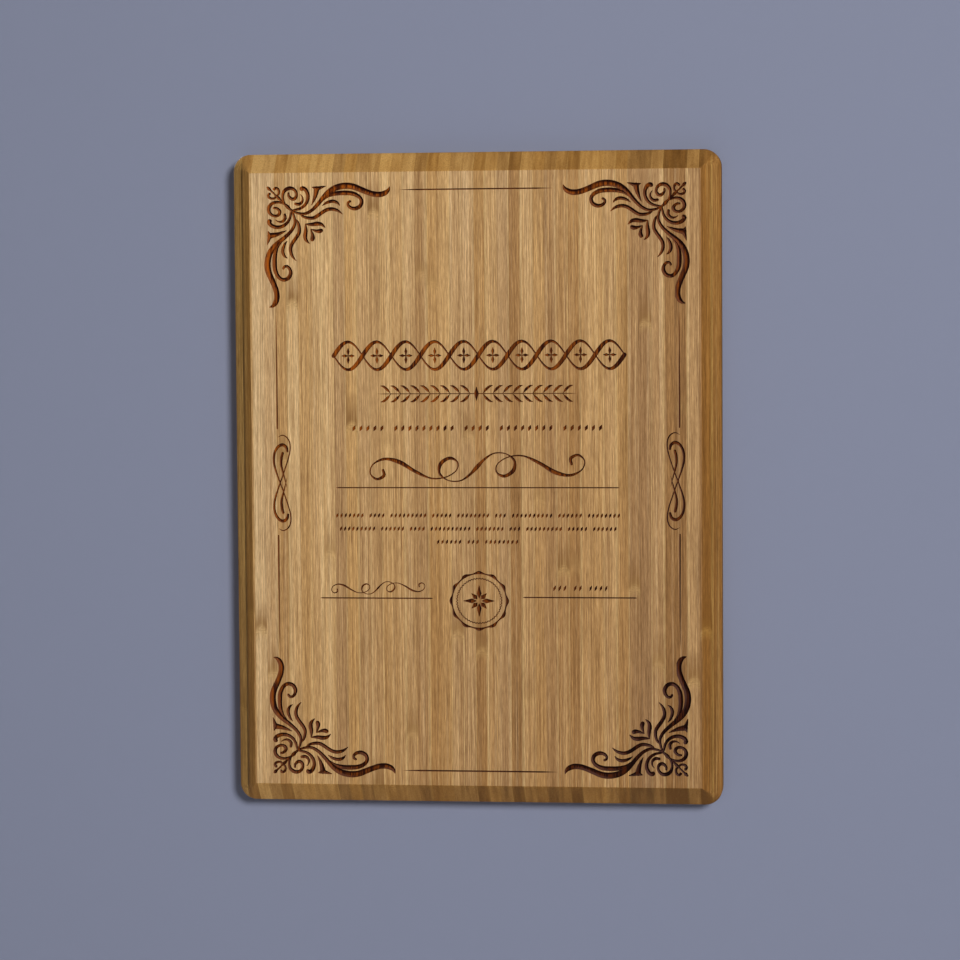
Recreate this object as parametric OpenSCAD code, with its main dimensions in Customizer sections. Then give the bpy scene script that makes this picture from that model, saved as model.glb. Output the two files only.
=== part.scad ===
// Bevelled wall plaque glued up from upright bamboo strips, with engraved lines on its
// front and a keyhole hanger let flush into its back.
// Frame: +X to the reader's right, +Z up, the front faces -Y and the wall plane is y = 0.
// Origin: centre of the hanger's entry hole, in the plane of the back.

/* [Board] */
// Width of the board
board_w = 228.6; // [222:0.1:231]
// Height of the board
board_h = 304.8; // [300:0.1:340]
// Thickness of the board
board_t = 19; // [16:0.5:24]
// Leg of the 45 degree bevel around the front
bevel = 9; // [9:0.5:9.5]
// Radius of the four upright corner edges
corner_r = 8; // [5:0.5:8.5]
// Pitch of the glued strips, counted from the glue line on the centre
strip_pitch = 5.5; // [5.5:0.01:5.55]
// Number of strips, half of them on each side of the centre
strip_count = 42; // [42:2:42]

/* [Hanger] */
// Height of the board's top edge above the hanger's entry hole
hanger_drop = 50; // [40:1:80]
// Width of the hanger plate, which has round ends
plate_w = 16; // [15:0.5:18]
// Length of the hanger plate
plate_l = 44; // [44:0.5:52]
// Thickness of the hanger plate
plate_t = 1.5; // [1.2:0.1:2]
// Height of the plate's centre above the entry hole
plate_rise = 4; // [3:0.5:5]
// Radius of the hole that lets the wall screw's head in
entry_r = 4.5; // [4:0.1:4.8]
// Width of the slot that the wall screw's shank slides up
slot_w = 5; // [4.5:0.1:5]
// Travel from the entry hole up to the seat at the slot's end
slot_rise = 11; // [9:0.5:11]
// Gap between the plate's edge and its recess
plate_gap = 0.15; // [0.1:0.05:0.3]
// Radius of the routed pocket behind the plate, for the wall screw's head
pocket_r = 6; // [5.8:0.1:6.5]
// Depth of that pocket below the plane of the back
pocket_depth = 7; // [5:0.5:8]

/* [Hanger screws] */
// Distance between the two fixing screws
screw_span = 34; // [33:0.5:36]
// Radius of a fixing screw's shank
screw_r = 1.5; // [1.4:0.1:1.75]
// Radius of a fixing screw's countersunk head
screw_head_r = 3; // [2.8:0.1:3.2]
// Length of a fixing screw, head included
screw_l = 10; // [8:0.5:12]
// Gap between a fixing screw and the plate's hole
screw_gap = 0.15; // [0.1:0.05:0.3]

/* [Engraving] */
// Depth of the engraved lines
line_depth = 0.4; // [0.2:0.1:1]
// Width of the engraved lines
line_w = 0.6; // [0.4:0.1:1]
// How far the engraving's centre lies to the right of the board's centre
art_x = 1.1; // [-3:0.1:3]
// How far the engraving's centre lies above the board's centre
art_z = -0.8; // [-3:0.1:3]
// Distance of the top and bottom rules from the board's edges
border_inset = 16.6; // [15:0.1:20]
// Distance of the side rules from the board's edges
side_inset = 20.1; // [18:0.1:24]
// Height of the seal's centre above the engraving's centre
seal_z = -55.7; // [-65:0.1:-50]
// Mean radius of the seal's outer ring
seal_r = 13; // [12:0.1:14]

/* [Hidden] */
$fn = 96;
eps = 1;
half_w = board_w / 2;
half_count = strip_count / 2;
top_z = hanger_drop;
mid_z = top_z - board_h / 2;
plate_r = plate_w / 2;
plate_ends = plate_l / 2 - plate_r;
border_x = half_w - side_inset;
border_z = board_h / 2 - border_inset;
seal_ring_w = 1;
seal_inner_r = 10.4;
seal_x = 0.5;

// Straight engraved lines from the engraving's centre: [middle x, middle z, length, 1 if upright]
RULES = [
    [0, border_z, 73, 0],
    [0, -border_z, 73, 0],
    [-border_x, 52.3, 54, 1],
    [-border_x, -52.3, 54, 1],
    [border_x, 52.3, 54, 1],
    [border_x, -52.3, 54, 1],
    [0, -2.8, 133, 0],
    [-47.8, -54.3, 53.5, 0],
    [47.8, -54.3, 53.5, 0],
];

STRIPS = [for (i = [1:strip_count]) strip_name(i)];

function strip_name(i) = str("bamboo_strip_", i < 10 ? "0" : "", i);
// Left edge of strip i; the outermost strips are trimmed by the board's edge
function strip_left(i) = max(-half_w, (i - 1 - half_count) * strip_pitch);
function strip_right(i) = i == strip_count ? half_w : (i - half_count) * strip_pitch;

// Section of a bar of the given width, its front face's two long edges bevelled
module bevelled_section(width) {
    polygon([
        [0, 0], [width, 0], [width, bevel - board_t],
        [width - bevel, -board_t], [bevel, -board_t], [0, bevel - board_t],
    ]);
}

// The whole board before it is parted into strips, with square corners
module board_blank() {
    intersection() {
        translate([-half_w, 0, top_z - board_h])
            linear_extrude(board_h) bevelled_section(board_w);
        translate([half_w, 0, top_z - board_h]) rotate([0, -90, 0])
            linear_extrude(board_w) bevelled_section(board_h);
    }
}

// What is cut off one corner: a square post less the round post and the cone over it
module corner_waste() {
    difference() {
        translate([-corner_r - eps, -board_t - eps, 0])
            cube([corner_r + eps, board_t + 2 * eps, corner_r + eps]);
        translate([-corner_r, eps, 0]) rotate([90, 0, 0])
            cylinder(h = board_t - bevel + eps, r = corner_r);
        translate([-corner_r, bevel - board_t, 0]) rotate([90, 0, 0])
            cylinder(h = corner_r, r1 = corner_r, r2 = 0);
    }
}

module straight_rules() {
    for (rule = RULES) {
        upright = rule[3] == 1;
        size_x = upright ? line_w : rule[2];
        size_z = upright ? rule[2] : line_w;
        translate([art_x + rule[0] - size_x / 2, -board_t - eps, mid_z + art_z + rule[1] - size_z / 2])
            cube([size_x, line_depth + eps, size_z]);
    }
}

// A round groove of the given mean radius, cut into the front
module ring_groove(r, w) {
    translate([art_x + seal_x, line_depth - board_t, mid_z + art_z + seal_z]) rotate([90, 0, 0])
        difference() {
            cylinder(h = line_depth + eps, r = r + w / 2);
            translate([0, 0, -eps]) cylinder(h = line_depth + 3 * eps, r = r - w / 2);
        }
}

// A bar with round ends, standing from the plane of the back to the given depth
module obround(r, z0, z1, depth) {
    translate([0, eps, z0]) rotate([90, 0, 0]) cylinder(h = depth + eps, r = r);
    translate([0, eps, z1]) rotate([90, 0, 0]) cylinder(h = depth + eps, r = r);
    translate([-r, -depth, z0]) cube([2 * r, depth + eps, z1 - z0]);
}

// Everything routed and drilled into the back for the hanger
module hanger_recess() {
    obround(plate_r + plate_gap, plate_rise - plate_ends, plate_rise + plate_ends, plate_t);
    obround(pocket_r, 0, slot_rise, pocket_depth);
    for (side = [-1, 1])
        translate([0, 0, plate_rise + side * screw_span / 2]) rotate([90, 0, 0])
            cylinder(h = screw_l, r = screw_r);
}

module bamboo_strip(i) {
    x0 = strip_left(i);
    x1 = strip_right(i);
    at_edge = i < 3 || i > strip_count - 2;
    near_hanger = abs(i - half_count - 0.5) < 2;
    color(i % 3 == 0 ? "burlywood" : i % 3 == 1 ? "tan" : "wheat")
        difference() {
            intersection() {
                board_blank();
                translate([x0, -board_t - eps, top_z - board_h - eps])
                    cube([x1 - x0, board_t + 2 * eps, board_h + 2 * eps]);
            }
            if (at_edge) {
                side = i < 3 ? 1 : 0;
                mirror([side, 0, 0]) {
                    translate([half_w, 0, top_z - corner_r]) corner_waste();
                    translate([half_w, 0, top_z - board_h + corner_r]) mirror([0, 0, 1]) corner_waste();
                }
            }
            if (near_hanger) hanger_recess();
            straight_rules();
            ring_groove(seal_r, seal_ring_w);
            ring_groove(seal_inner_r, line_w);
        }
}

module hanger_plate() {
    color("silver")
        difference() {
            translate([0, 0, plate_rise]) rotate([90, 0, 0])
                linear_extrude(plate_t) plate_outline();
            translate([0, eps, 0]) rotate([90, 0, 0]) cylinder(h = plate_t + 2 * eps, r = entry_r);
            obround(slot_w / 2, 0, slot_rise, plate_t + eps);
            for (side = [-1, 1])
                translate([0, 0, plate_rise + side * screw_span / 2]) screw_hole();
        }
}

module plate_outline() {
    translate([0, plate_ends]) circle(r = plate_r);
    translate([0, -plate_ends]) circle(r = plate_r);
    translate([-plate_r, -plate_ends]) square([plate_w, 2 * plate_ends]);
}

module screw_hole() {
    sink = screw_head_r - screw_r;
    translate([0, eps, 0]) rotate([90, 0, 0])
        cylinder(h = plate_t + 2 * eps, r = screw_r + screw_gap);
    rotate([90, 0, 0])
        cylinder(h = sink, r1 = screw_head_r + screw_gap, r2 = screw_r + screw_gap);
}

module hanger_screws() {
    sink = screw_head_r - screw_r;
    color("gray")
        for (side = [-1, 1])
            translate([0, 0, plate_rise + side * screw_span / 2]) rotate([90, 0, 0]) {
                cylinder(h = sink, r1 = screw_head_r, r2 = screw_r);
                translate([0, 0, sink]) cylinder(h = screw_l - sink, r = screw_r);
            }
}

for (i = [1:strip_count])
    bamboo_strip(i);
hanger_plate();
hanger_screws();
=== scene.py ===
import bisect
import math

import bpy
import numpy as np
from mathutils import Matrix, Vector
from mathutils.geometry import delaunay_2d_cdt


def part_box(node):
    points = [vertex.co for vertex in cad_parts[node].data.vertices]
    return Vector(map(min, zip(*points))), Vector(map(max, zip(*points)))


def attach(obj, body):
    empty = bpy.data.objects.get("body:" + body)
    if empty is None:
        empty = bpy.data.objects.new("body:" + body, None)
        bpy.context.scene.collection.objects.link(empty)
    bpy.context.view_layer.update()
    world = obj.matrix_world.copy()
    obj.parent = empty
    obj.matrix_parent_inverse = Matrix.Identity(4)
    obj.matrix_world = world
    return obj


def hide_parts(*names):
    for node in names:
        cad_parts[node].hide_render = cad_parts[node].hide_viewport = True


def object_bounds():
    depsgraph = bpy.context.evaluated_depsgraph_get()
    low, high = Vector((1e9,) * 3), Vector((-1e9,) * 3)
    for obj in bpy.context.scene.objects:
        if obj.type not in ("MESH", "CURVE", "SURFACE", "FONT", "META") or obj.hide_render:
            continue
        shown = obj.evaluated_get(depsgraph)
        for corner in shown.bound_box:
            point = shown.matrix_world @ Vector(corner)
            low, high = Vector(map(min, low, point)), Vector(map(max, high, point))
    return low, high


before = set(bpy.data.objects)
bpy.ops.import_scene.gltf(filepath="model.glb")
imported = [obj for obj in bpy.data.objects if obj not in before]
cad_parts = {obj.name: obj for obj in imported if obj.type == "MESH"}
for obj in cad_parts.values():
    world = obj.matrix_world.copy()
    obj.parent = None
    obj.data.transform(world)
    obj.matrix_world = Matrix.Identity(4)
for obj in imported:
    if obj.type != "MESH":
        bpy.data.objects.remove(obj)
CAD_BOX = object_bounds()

# ---------------------------------------------------------------------------------------
# Sizes. Outlines are drawn in millimetres from the board's centre: x to the right, z up.
# ---------------------------------------------------------------------------------------
MM = 0.001
LOW, HIGH = CAD_BOX
BOARD_W = (HIGH.x - LOW.x) / MM
BOARD_H = (HIGH.z - LOW.z) / MM
CENTRE_X = (LOW.x + HIGH.x) / 2
CENTRE_Z = (LOW.z + HIGH.z) / 2
BACK_Y = HIGH.y
FRONT_Y = LOW.y

STRIPS = sorted(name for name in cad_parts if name.startswith("bamboo_strip_"))
STRIP_W = (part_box(STRIPS[1])[1].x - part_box(STRIPS[1])[0].x) / MM
STRIP_EDGES = [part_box(name)[0].x / MM for name in STRIPS[1:]]

BEVEL = 9.0             # leg of the 45 degree bevel
CORNER_R = 8.0          # radius of the upright corner edges
EASE = 0.35             # half width of the softened line between face and bevel
ARRIS = 0.3             # softened edge between bevel and side
BACK_ARRIS = 0.5        # softened edge around the back
BEVEL_RINGS = [1.2, 2.6, 5.8, 7.3]  # more rings of points on the bevel, from the outline

PLATE_GAP = 0.15        # between the plate's edge and its recess
POCKET_R = 6.0          # the routed pocket behind the plate
POCKET_DEPTH = 7.0
SLOT_RISE = 11.0        # from the entry hole's centre to the top of the slot
POCKET_WALL = 0.04      # how much narrower a pocket is at its floor
SCREW_R = 1.5           # shank of a fixing screw, over its thread
SCREW_CORE_R = 1.0      # and under it
SCREW_PITCH = 1.1       # of its thread
SCREW_POINT = 2.5       # length of its point
SCREW_TIP_R = 0.15      # radius of the point's flat end
SCREW_EASE = 0.12       # softened rim of its head
SCREW_TURNS = (0.35, 1.2)   # how far the two screws are turned, in radians
CROSS_RIM = (1.6, 0.5)      # cross recess: half length and half width of an arm at its rim
CROSS_FLOOR = (1.05, 0.22)  # and at its floor
CROSS_DEPTH = 1.2

SAME = 0.002            # points closer than this are one point
GLUE_MARK = 0.02        # points on a glue line lie at multiples of this

# Section of a groove from its rim inwards: (share of the wall's width, share of the depth)
GROOVE_SECTION = [(0.0, 0.0), (0.3, 0.5), (0.65, 0.85), (1.0, 1.0)]
# Engraving profiles: (depth, width of the wall). A groove too narrow for its walls is shallower.
CARVED = (1.4, 1.15)
FINE = (0.7, 0.4)
LETTERED = (0.6, 0.36)
DEEPEST = 2.0           # nothing engraved lies deeper than this

# Colours of the bamboo's tones, dark to pale
WOOD_TONES = [(0.05, (0.27, 0.139, 0.05)), (0.3, (0.37, 0.2, 0.074)),
              (0.5, (0.455, 0.262, 0.102)), (0.7, (0.555, 0.34, 0.144)),
              (0.95, (0.66, 0.445, 0.215))]


# ---------------------------------------------------------------------------------------
# Outlines
# ---------------------------------------------------------------------------------------
def arc(cx, cz, r, start, end, steps):
    """Points on a circle from one angle to another, in degrees."""
    angles = np.radians(np.linspace(start, end, steps + 1))
    return [(cx + r * math.cos(a), cz + r * math.sin(a)) for a in angles]


def board_ring(inset, steps=12):
    """The board's outline moved inwards. Past the corner radius its corners are sharp."""
    half_w = BOARD_W / 2 - inset
    half_h = BOARD_H / 2 - inset
    r = CORNER_R - inset
    if r <= 0:
        return [(half_w, half_h), (-half_w, half_h), (-half_w, -half_h), (half_w, -half_h)]
    x, z = half_w - r, half_h - r
    return (arc(x, z, r, 0, 90, steps) + arc(-x, z, r, 90, 180, steps)
            + arc(-x, -z, r, 180, 270, steps) + arc(x, -z, r, 270, 360, steps))


def edge_distance(x, z):
    """How far a point lies inside the board's outline."""
    qx = np.abs(x) - (BOARD_W / 2 - CORNER_R)
    qz = np.abs(z) - (BOARD_H / 2 - CORNER_R)
    outside = np.hypot(np.maximum(qx, 0), np.maximum(qz, 0))
    return CORNER_R - outside - np.minimum(np.maximum(qx, qz), 0)


def bevel_drop(distance):
    """How far the front lies behind the face's plane, at this distance from the outline."""
    t = BEVEL - distance
    soft = (t + EASE) ** 2 / (4 * EASE)
    drop = np.where(t < -EASE, 0.0, np.where(t < EASE, soft, t))
    return drop + np.maximum(ARRIS - distance, 0) ** 2 / ARRIS


def cut_at(loop, cuts):
    """A closed outline with a point added wherever it crosses one of the upright lines."""
    out = []
    for (x0, z0), (x1, z1) in zip(loop, loop[1:] + loop[:1]):
        out.append((x0, z0))
        crossed = [c for c in cuts if min(x0, x1) + SAME < c < max(x0, x1) - SAME]
        for c in sorted(crossed, reverse=x1 < x0):
            out.append((c, z0 + (z1 - z0) * (c - x0) / (x1 - x0)))
    return out


def closed(loop):
    return list(zip(loop, loop[1:] + loop[:1]))


def chain(points):
    return list(zip(points, points[1:]))


# ---------------------------------------------------------------------------------------
# Engraved strokes
# ---------------------------------------------------------------------------------------
class Stroke:
    """A groove along a curve. Each point is x, z and the groove's half width there."""

    def __init__(self, points, profile):
        self.path = np.array(points, float)
        self.depth, self.wall = profile

    def sides(self, shrink):
        """The two lines that run beside the curve, shrink mm inside the groove's rim."""
        xz, w = self.path[:, :2], np.maximum(self.path[:, 2] - shrink, 0)
        along = np.gradient(xz, axis=0)
        along /= np.maximum(np.linalg.norm(along, axis=1), 1e-9)[:, None]
        across = np.stack([-along[:, 1], along[:, 0]], 1) * w[:, None]
        return xz + across, xz - across, along

    def rim(self):
        """The closed outline of the groove, with round ends where it is still wide."""
        left, right, along = self.sides(0)
        loop = list(map(tuple, left))
        loop += self.cap(-1, along[-1])
        loop += list(map(tuple, right[::-1]))
        loop += self.cap(0, -along[0])
        return loop

    def cap(self, end, outward):
        x, z, w = self.path[end]
        if w < 0.12:
            return []
        start = math.degrees(math.atan2(outward[1], outward[0])) + 90
        return arc(x, z, w, start, start - 180, 8)[1:-1]

    def lines(self):
        """Every line that the surface has to follow."""
        found = closed(self.rim())
        for share, _ in GROOVE_SECTION[1:]:
            left, right, _ = self.sides(self.wall * share)
            for side in (left, right):
                found += chain(list(map(tuple, side)))
        return found

    def depth_at(self, x, z):
        """Depth of this groove at many points."""
        a, b = self.path[:-1], self.path[1:]
        step = b[:, :2] - a[:, :2]
        length2 = np.maximum((step ** 2).sum(1), 1e-12)
        px = x[:, None] - a[None, :, 0]
        pz = z[:, None] - a[None, :, 1]
        t = np.clip((px * step[:, 0] + pz * step[:, 1]) / length2, 0, 1)
        away = np.hypot(px - t * step[:, 0], pz - t * step[:, 1])
        inside = (a[:, 2] + t * (b[:, 2] - a[:, 2]) - away).max(1)
        return self.depth * np.interp((inside - 0.02) / self.wall, *zip(*GROOVE_SECTION))

    def near(self, x, z):
        """Which points lie in the box around the groove."""
        reach = self.path[:, 2].max() + 0.1
        (x0, z0), (x1, z1) = self.path[:, :2].min(0) - reach, self.path[:, :2].max(0) + reach
        return np.where((x > x0) & (x < x1) & (z > z0) & (z < z1))[0]


def smooth(points, profile=CARVED, spacing=0.7):
    """A stroke through given points (x, z, half width), on a Catmull-Rom curve."""
    p = np.array(points, float)
    p = np.vstack([2 * p[0] - p[1], p, 2 * p[-1] - p[-2]])
    p[0, 2], p[-1, 2] = p[1, 2], p[-2, 2]
    out = []
    for p0, p1, p2, p3 in zip(p, p[1:], p[2:], p[3:]):
        count = max(2, round(float(np.linalg.norm(p2[:2] - p1[:2])) / spacing))
        for t in np.arange(count) / count:
            bend = (2 * p1 + (p2 - p0) * t + (2 * p0 - 5 * p1 + 4 * p2 - p3) * t ** 2
                    + (3 * p1 - p0 - 3 * p2 + p3) * t ** 3) / 2
            width = p1[2] + (p2[2] - p1[2]) * (3 - 2 * t) * t * t
            out.append((bend[0], bend[1], max(width, 0.04)))
    out.append(tuple(p[-2]))
    return Stroke(out, profile)


def straight(x0, z0, x1, z1, w, profile=FINE, taper=8.0):
    """A straight rule that thins to a point over its last millimetres at each end."""
    length = math.hypot(x1 - x0, z1 - z0)
    stops = [(0, 0.05), (taper, w), (length - taper, w), (length, 0.05)]
    return Stroke([(x0 + (x1 - x0) * s / length, z0 + (z1 - z0) * s / length, v)
                   for s, v in stops], profile)


# Half of a corner ornament: u runs from the corner along one edge, v away from that edge.
# Each row is u, v and half width. The other half is its mirror image in the diagonal.
# Half widths are drawn CORNER_BOLD times as wide, and CORNER_SPREAD wider again.
CORNER_BOLD, CORNER_SPREAD = 1.14, 0.13
CORNER_HALF = [
    # small curl beside the tip
    [(4.5, 4.8, 0.2), (5.6, 3.9, 0.36), (5.9, 2.6, 0.42), (5.4, 1.3, 0.46), (4.4, 0.8, 0.48),
     (3.6, 1.4, 0.48)],
    # first volute
    [(8.7, 8.9, 0.35), (7.9, 7.0, 0.42), (7.6, 4.9, 0.46), (8.1, 2.8, 0.6), (9.5, 1.4, 0.7),
     (11.2, 0.95, 0.7), (12.9, 1.5, 0.6), (14.0, 2.9, 0.5), (14.2, 4.6, 0.52), (13.4, 5.9, 0.62),
     (12.1, 6.2, 0.64), (11.0, 5.4, 0.5), (10.4, 4.4, 0.42), (10.4, 3.4, 0.36)],
    # hook outside it
    [(11.9, 11.7, 0.3), (13.8, 11.3, 0.42), (15.7, 10.8, 0.48), (17.7, 9.5, 0.55),
     (19.2, 7.3, 0.62), (19.6, 4.4, 0.68), (18.5, 1.8, 0.75), (17.0, 1.0, 0.8), (16.6, 1.4, 0.75)],
    # small hook inside it
    [(13.7, 8.5, 0.5), (15.4, 8.7, 0.6), (16.7, 7.7, 0.5), (17.1, 6.3, 0.36), (16.7, 4.9, 0.16),
     (16.1, 4.1, 0.05)],
    # flared leaf: stem, then its two lips
    [(21.3, 9.1, 0.08), (22.3, 6.8, 0.48), (23.1, 4.6, 0.78), (23.5, 2.6, 1.0), (23.7, 1.5, 1.1)],
    [(23.6, 1.5, 0.9), (22.6, 0.9, 0.5), (21.5, 0.6, 0.06)],
    [(23.8, 1.4, 0.9), (25.3, 0.9, 0.6), (26.7, 0.5, 0.34), (27.9, 0.2, 0.06)],
    # long scroll
    [(12.4, 12.0, 0.3), (14.5, 12.9, 0.42), (17.8, 13.3, 0.52), (20.8, 12.0, 0.6),
     (23.0, 10.1, 0.66), (24.9, 8.0, 0.74), (26.9, 5.5, 0.86), (29.1, 3.2, 1.0),
     (31.8, 1.4, 1.12), (34.8, 0.4, 1.2), (38.0, 0.1, 1.22), (41.2, 0.6, 1.18),
     (44.4, 1.9, 1.1), (47.5, 3.2, 1.05), (50.6, 4.2, 1.05), (53.7, 4.4, 1.06),
     (56.1, 3.6, 0.95), (57.5, 2.3, 0.6), (58.0, 0.9, 0.1)],
    # second scroll, ending in a curl
    [(27.3, 6.6, 0.12), (28.9, 5.1, 0.45), (31.2, 4.1, 0.72), (33.8, 3.6, 0.85),
     (36.8, 3.5, 0.9), (39.9, 3.7, 0.86), (42.5, 4.6, 0.76), (44.3, 6.1, 0.68),
     (44.9, 7.9, 0.68), (44.1, 9.9, 0.74), (42.0, 11.0, 0.74), (39.9, 10.7, 0.6),
     (38.5, 9.5, 0.5), (38.5, 8.2, 0.46), (39.4, 7.6, 0.42)],
    # two tapered leaves
    [(26.3, 9.5, 0.06), (27.8, 8.4, 0.42), (29.4, 7.7, 0.58), (31.3, 7.4, 0.62),
     (32.8, 7.8, 0.56), (33.9, 8.6, 0.34), (34.5, 9.5, 0.06)],
    [(15.6, 13.3, 0.12), (17.2, 14.6, 0.42), (19.6, 15.3, 0.58), (22.1, 15.3, 0.64),
     (24.2, 14.2, 0.68), (26.3, 12.7, 0.68), (28.4, 11.5, 0.68), (30.5, 11.1, 0.66),
     (32.6, 11.5, 0.58), (34.2, 12.3, 0.38), (35.7, 13.6, 0.06)],
    # outer petal and inner lobe of the flower
    [(18.3, 18.2, 0.1), (19.6, 18.4, 0.42), (21.6, 18.4, 0.7), (23.6, 18.1, 0.82),
     (25.5, 18.3, 0.68), (26.8, 19.2, 0.35), (27.5, 20.0, 0.06)],
    [(20.8, 20.7, 0.06), (22.1, 21.2, 0.36), (23.4, 21.6, 0.56), (24.8, 21.7, 0.82),
     (25.6, 21.4, 0.76)],
]
# What lies on the corner's diagonal: tip bud, stem, thick leaf and collar
CORNER_MIDDLE = [
    [(0.6, 0.6, 0.4), (1.2, 1.2, 0.7), (2.0, 2.0, 0.3), (4.0, 4.0, 0.24), (5.0, 5.0, 0.5),
     (5.8, 5.8, 0.58), (6.8, 6.8, 0.32), (8.6, 8.6, 0.4), (10.0, 10.0, 0.75),
     (11.1, 11.1, 0.42), (12.8, 12.5, 0.4)],
]
# The four ornaments: x and z of the tip's outer corner from the board's centre, and how much
# each ornament is drawn out in x and in z
CORNERS = [(-97.0, 137.2, 1.0, 0.97), (98.9, 137.2, 0.98, 0.96),
           (-96.8, -138.7, 1.0, 0.95), (98.9, -138.0, 0.99, 0.965)]

# One side flourish, upper half, from its own centre: x, z and half width. The lower half is
# its mirror image, and half widths are drawn FLOURISH_BOLD times as wide.
FLOURISH_BOLD = 1.15
FLOURISH_HALF = [
    [(2.7, 14.9, 0.5), (2.2, 16.7, 0.62), (0.5, 17.9, 0.68), (-1.5, 17.2, 0.62),
     (-3.1, 15.0, 0.54), (-3.8, 12.1, 0.52), (-3.7, 9.0, 0.48), (-2.9, 5.7, 0.4),
     (-1.9, 2.7, 0.34), (-0.8, -0.4, 0.3), (0.3, -3.3, 0.28), (1.5, -6.8, 0.28),
     (3.0, -11.3, 0.28), (3.9, -15.3, 0.3), (3.8, -18.8, 0.3), (2.5, -21.3, 0.27),
     (0.3, -22.4, 0.24), (-2.0, -21.4, 0.06)],
    [(0.4, 14.0, 0.55), (-0.2, 11.7, 0.6), (-0.4, 8.8, 0.52), (0.2, 5.9, 0.42),
     (1.0, 2.9, 0.3), (1.7, 0.2, 0.2), (2.4, -2.6, 0.06)],
]
# The two flourishes: x and z of the centre, and which way the second loop lies
FLOURISHES = [(-91.1, -1.4, -1), (93.5, -0.5, 1)]

# A pen flourish that turns onto itself under half a turn, right half only.
PEN_FLOURISH = [
    (0.0, 0.0, 0.75), (3.5, 3.6, 0.45), (8.0, 6.4, 0.25), (13.5, 6.2, 0.22), (17.5, 3.0, 0.45),
    (17.0, -1.6, 0.72), (12.8, -4.2, 0.6), (9.2, -2.4, 0.3), (9.6, 1.4, 0.22),
    (14.5, 4.6, 0.22), (21.5, 5.2, 0.3), (29.0, 2.0, 0.62), (36.5, -2.4, 0.8),
    (43.5, -3.8, 0.5), (49.0, -1.2, 0.25), (50.2, 3.0, 0.25), (47.2, 5.6, 0.45),
    (43.8, 4.0, 0.6), (44.2, 1.4, 0.5),
]


def corner_strokes():
    """The four corner ornaments."""
    rows = CORNER_HALF + [[(v, u, w) for u, v, w in half] for half in CORNER_HALF]
    rows = rows + CORNER_MIDDLE
    found = []
    for x0, z0, scale_x, scale_z in CORNERS:
        step_x = -math.copysign(scale_x, x0)
        step_z = -math.copysign(scale_z, z0)
        for row in rows:
            found.append(smooth([
                (x0 + step_x * u, z0 + step_z * v, CORNER_BOLD * w + CORNER_SPREAD)
                for u, v, w in row]))
    return found


def flourish_strokes():
    """The interlaced loops halfway up each side."""
    found = []
    for x0, z0, side in FLOURISHES:
        for row in FLOURISH_HALF:
            for end in (-1, 1):
                points = [(x0 - side * x, z0 + end * z, FLOURISH_BOLD * w) for x, z, w in row]
                found.append(smooth(points, FINE, 0.8))
    return found


def rule_strokes():
    """The straight rules: top, bottom, sides, under the name and under the two small lines."""
    found = [
        straight(-34.5, 135.0, 37.5, 135.0, 0.32),
        straight(-35.5, -136.5, 38.5, -136.5, 0.36),
        straight(-65.5, -3.6, 67.5, -3.6, 0.28, taper=1.0),
        straight(-73.5, -55.4, -20.0, -55.4, 0.3, taper=1.0),
        straight(22.0, -54.8, 75.5, -54.8, 0.3, taper=1.0),
    ]
    # the side rules are blunt beside the flourish and thin out away from it
    for x, near_up, near_down in ((-93.1, 24.2, -26.2), (95.3, 24.4, -25.2)):
        for near, away in ((near_up, 79.0), (near_down, -79.5)):
            found.append(Stroke([(x, near, 0.36), (x, near * 0.95 + away * 0.05, 0.4),
                                 (x, (near + away) / 2, 0.3), (x, away, 0.1)], FINE))
    return found


def link_band(cx, cz, half_length, height, links, w):
    """A chain of crossing waves with a four-petalled star in each link."""
    found = []
    pitch = 2 * half_length / links
    for sign in (-1, 1):
        points = []
        for i in range(links * 12 + 1):
            x = i / 12 * pitch
            phase = math.pi * i / 12
            wide = 0.5 + 0.5 * sign * math.cos(phase)
            points.append((cx - half_length + x, cz + sign * height / 2 * math.sin(phase),
                           w * (0.35 + 0.65 * wide)))
        found.append(Stroke(points, LETTERED))
    for i in range(links):
        x = cx - half_length + (i + 0.5) * pitch
        for dx, dz in ((0.24, 0), (-0.24, 0), (0, 0.3), (0, -0.3)):
            tip = (x + dx * pitch, cz + dz * height, 0.05)
            middle = (x + dx * pitch / 2, cz + dz * height / 2, w * 0.7)
            found.append(Stroke([(x, cz, 0.12), middle, tip], LETTERED))
    return found


def leaf_band(cx, cz, half_length, pairs, leaf):
    """A stem with pairs of leaves that point outwards from a centre diamond."""
    found = [straight(cx - half_length, cz, cx + half_length, cz, 0.2, LETTERED, 4.0)]
    found.append(Stroke([(cx, cz - leaf * 0.8, 0.05), (cx, cz, 1.1), (cx, cz + leaf * 0.8, 0.05)],
                        LETTERED))
    for side in (-1, 1):
        for i in range(pairs):
            x = cx + side * (3.0 + i * (half_length - 5.0) / pairs)
            for up in (-1, 1):
                found.append(smooth([
                    (x, cz + up * 0.15, 0.1), (x + side * leaf * 0.35, cz + up * leaf * 0.45, 0.66),
                    (x + side * leaf * 0.75, cz + up * leaf * 0.78, 0.54),
                    (x + side * leaf * 1.1, cz + up * leaf * 0.86, 0.05)], LETTERED))
    return found


def grain_row(cx, cz, groups, pitch, height, w):
    """A row of small slanted grains in groups, where a line of small print would be."""
    slant = 0.22 * height
    cells = sum(groups) + (len(groups) - 1)
    x = cx - cells * pitch / 2 + pitch / 2
    found = []
    for group in groups:
        for _ in range(group):
            found.append(Stroke([(x - slant, cz - height / 2, 0.06), (x, cz, w),
                                 (x + slant, cz + height / 2, 0.06)], LETTERED))
            x += pitch
        x += pitch
    return found


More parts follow.
